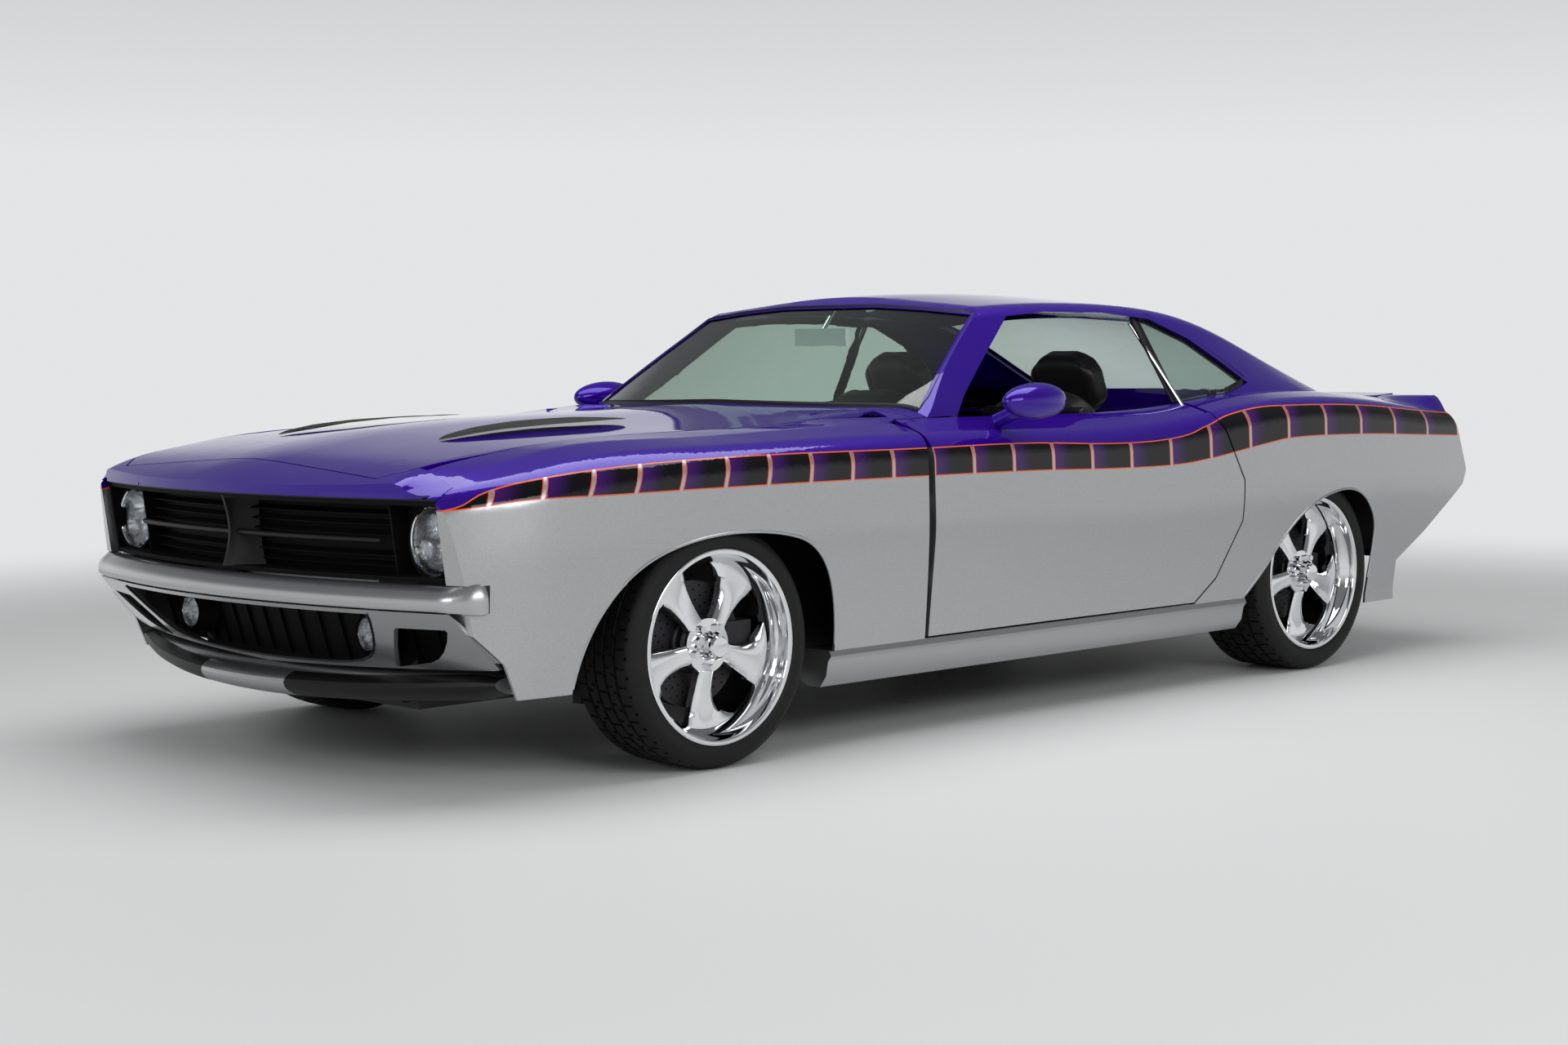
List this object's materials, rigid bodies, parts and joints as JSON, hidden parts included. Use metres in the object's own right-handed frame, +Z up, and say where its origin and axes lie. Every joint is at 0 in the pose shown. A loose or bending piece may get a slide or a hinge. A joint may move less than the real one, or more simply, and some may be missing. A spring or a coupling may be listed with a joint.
{
  "type": "two-door hardtop muscle car",
  "caption": "Low two-door hardtop coupe with a long hood, opening doors, hood and trunk, steered front wheels, twin hood scoops, chin lip and ducktail.",
  "frame": {"origin": "on the ground under the middle of the car's length and width", "axes": "+X to the nose, +Y to the car's left, +Z up"},
  "size_m": [4.7418, 2.0556, 1.2794],
  "materials": {
    "paint": "gloss",
    "lower_paint": "gloss metallic",
    "black_trim": "satin",
    "lens": "clear",
    "red_lens": "gloss",
    "window_glass": "tinted",
    "underbody": "satin",
    "engine_paint": "satin",
    "driveline_metal": "satin",
    "alloy": "satin",
    "exhaust_steel": "satin",
    "leather": "satin",
    "cabin_trim": "matte",
    "mirror_glass": "polished",
    "rubber": "matte",
    "polished": "polished",
    "disc_iron": "machined"
  },
  "bodies": {
    "body": {"fender_left": "paint", "fender_right": "paint", "header": "paint", "cowl": "paint", "quarter_left": "paint", "quarter_right": "paint", "deck_panel": "paint", "roof": "paint", "front_bumper": "lower_paint", "front_valance": "lower_paint", "chin_spoiler": "lower_paint", "rear_bumper": "lower_paint", "rear_valance": "lower_paint", "rockers": "lower_paint", "grille": "black_trim", "rear_panel": "black_trim", "front_lamps": "lens", "tail_lamps": "red_lens", "windshield": "window_glass", "rear_window": "window_glass", "quarter_windows": "window_glass", "floor": "underbody", "trunk_floor": "underbody", "aprons": "underbody", "rails": "underbody", "front_arms": "underbody", "engine": "engine_paint", "driveline": "driveline_metal", "rear_axle": "driveline_metal", "radiator": "alloy", "fuel_tank": "alloy", "exhaust": "exhaust_steel", "seat_left": "leather", "seat_right": "leather", "rear_seat": "leather", "dash": "cabin_trim", "steering_wheel": "cabin_trim", "console": "cabin_trim", "interior_mirror": "mirror_glass"},
    "hood": {"hood": "paint", "hood_scoops": "black_trim"},
    "trunk_lid": {"trunk_lid": "paint"},
    "door_left": {"door_left": "paint"},
    "door_right": {"door_right": "paint", "door_glass": "window_glass"},
    "knuckle_left": {"knuckle_left": "driveline_metal"},
    "knuckle_right": {"knuckle_right": "driveline_metal"},
    "wheel_front_left": {"tyre_front_left": "rubber", "rim_front_left": "polished", "disc_front_left": "disc_iron"},
    "wheel_front_right": {"tyre_front_right": "rubber", "rim_front_right": "polished", "disc_front_right": "disc_iron"},
    "wheel_rear_left": {"tyre_rear_left": "rubber", "rim_rear_left": "polished", "disc_rear_left": "disc_iron"},
    "wheel_rear_right": {"tyre_rear_right": "rubber", "rim_rear_right": "polished", "disc_rear_right": "disc_iron"}
  },
  "joints": [
    {"name": "steer_left", "type": "hinge", "parent": "body", "child": "knuckle_left", "pos_m": [1.42, 0.72, 0.322], "axis": [0, 0, 1], "range_deg": [-32, 32]},
    {"name": "steer_right", "type": "hinge", "parent": "body", "child": "knuckle_right", "pos_m": [1.42, -0.72, 0.322], "axis": [0, 0, 1], "range_deg": [-32, 32]},
    {"name": "spin_front_left", "type": "hinge", "parent": "knuckle_left", "child": "wheel_front_left", "pos_m": [1.42, 0.8, 0.322], "axis": [0, 1, 0], "continuous": true},
    {"name": "spin_front_right", "type": "hinge", "parent": "knuckle_right", "child": "wheel_front_right", "pos_m": [1.42, -0.8, 0.322], "axis": [0, 1, 0], "continuous": true},
    {"name": "spin_rear_left", "type": "hinge", "parent": "body", "child": "wheel_rear_left", "pos_m": [-1.323, 0.772, 0.328], "axis": [0, 1, 0], "continuous": true},
    {"name": "spin_rear_right", "type": "hinge", "parent": "body", "child": "wheel_rear_right", "pos_m": [-1.323, -0.772, 0.328], "axis": [0, 1, 0], "continuous": true},
    {"name": "door_left_hinge", "type": "hinge", "parent": "body", "child": "door_left", "pos_m": [0.725, 0.868, 0.56], "axis": [0, 0, -1], "range_deg": [0, 60]},
    {"name": "door_right_hinge", "type": "hinge", "parent": "body", "child": "door_right", "pos_m": [0.725, -0.868, 0.56], "axis": [0, 0, 1], "range_deg": [0, 60]},
    {"name": "hood_hinge", "type": "hinge", "parent": "body", "child": "hood", "pos_m": [0.566, 0, 0.866], "axis": [0, -1, 0], "range_deg": [0, 35]},
    {"name": "trunk_hinge", "type": "hinge", "parent": "body", "child": "trunk_lid", "pos_m": [-1.72, 0, 0.875], "axis": [0, 1, 0], "range_deg": [0, 45]}
  ],
  "couplings": [
    {"joint": "steer_right", "follows": "steer_left", "ratio": 1}
  ]
}
